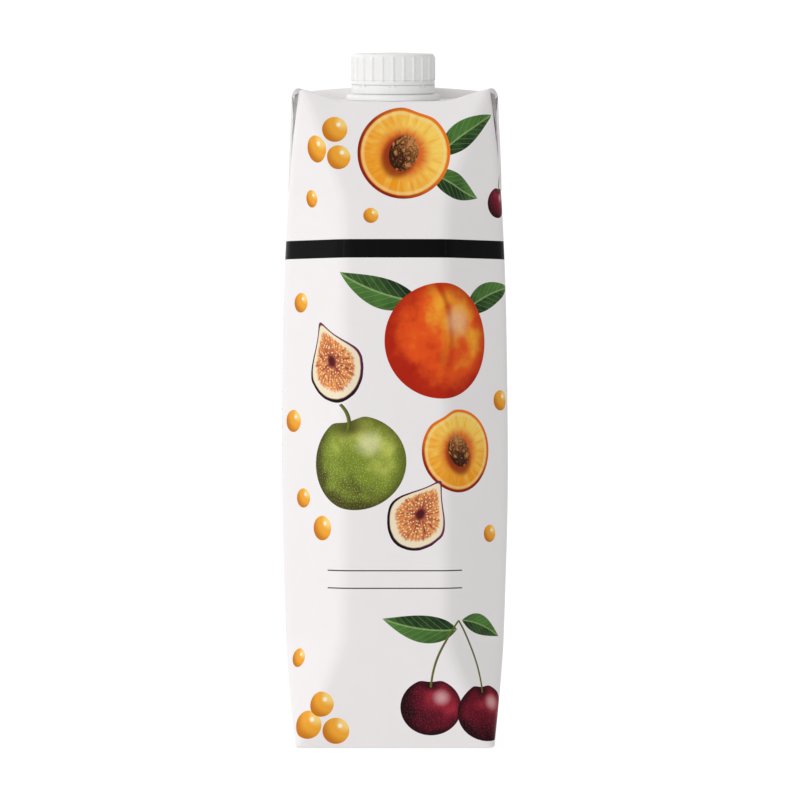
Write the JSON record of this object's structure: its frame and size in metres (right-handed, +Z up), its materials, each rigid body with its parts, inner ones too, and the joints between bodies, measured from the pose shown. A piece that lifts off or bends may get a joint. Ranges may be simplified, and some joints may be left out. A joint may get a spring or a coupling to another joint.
{
  "type": "juice carton",
  "caption": "Tall one-litre paperboard drink carton with an eight-sided waist, square base, sloping folded top and a ribbed screw cap.",
  "frame": {"origin": "middle of the underside, on the surface the pack stands on", "axes": "+Z up along the pack's height, -Y out of the front panel below the cap, +X to the right seen from the front"},
  "size_m": [0.0774, 0.0774, 0.2359],
  "materials": {
    "printed_board": "smooth coated printed board, satin",
    "spout_plastic": "satin white",
    "cap_plastic": "satin white"
  },
  "bodies": {
    "root": {"carton": "printed_board", "spout": "spout_plastic", "tamper_band": "cap_plastic", "cap": "cap_plastic"}
  },
  "joints": []
}
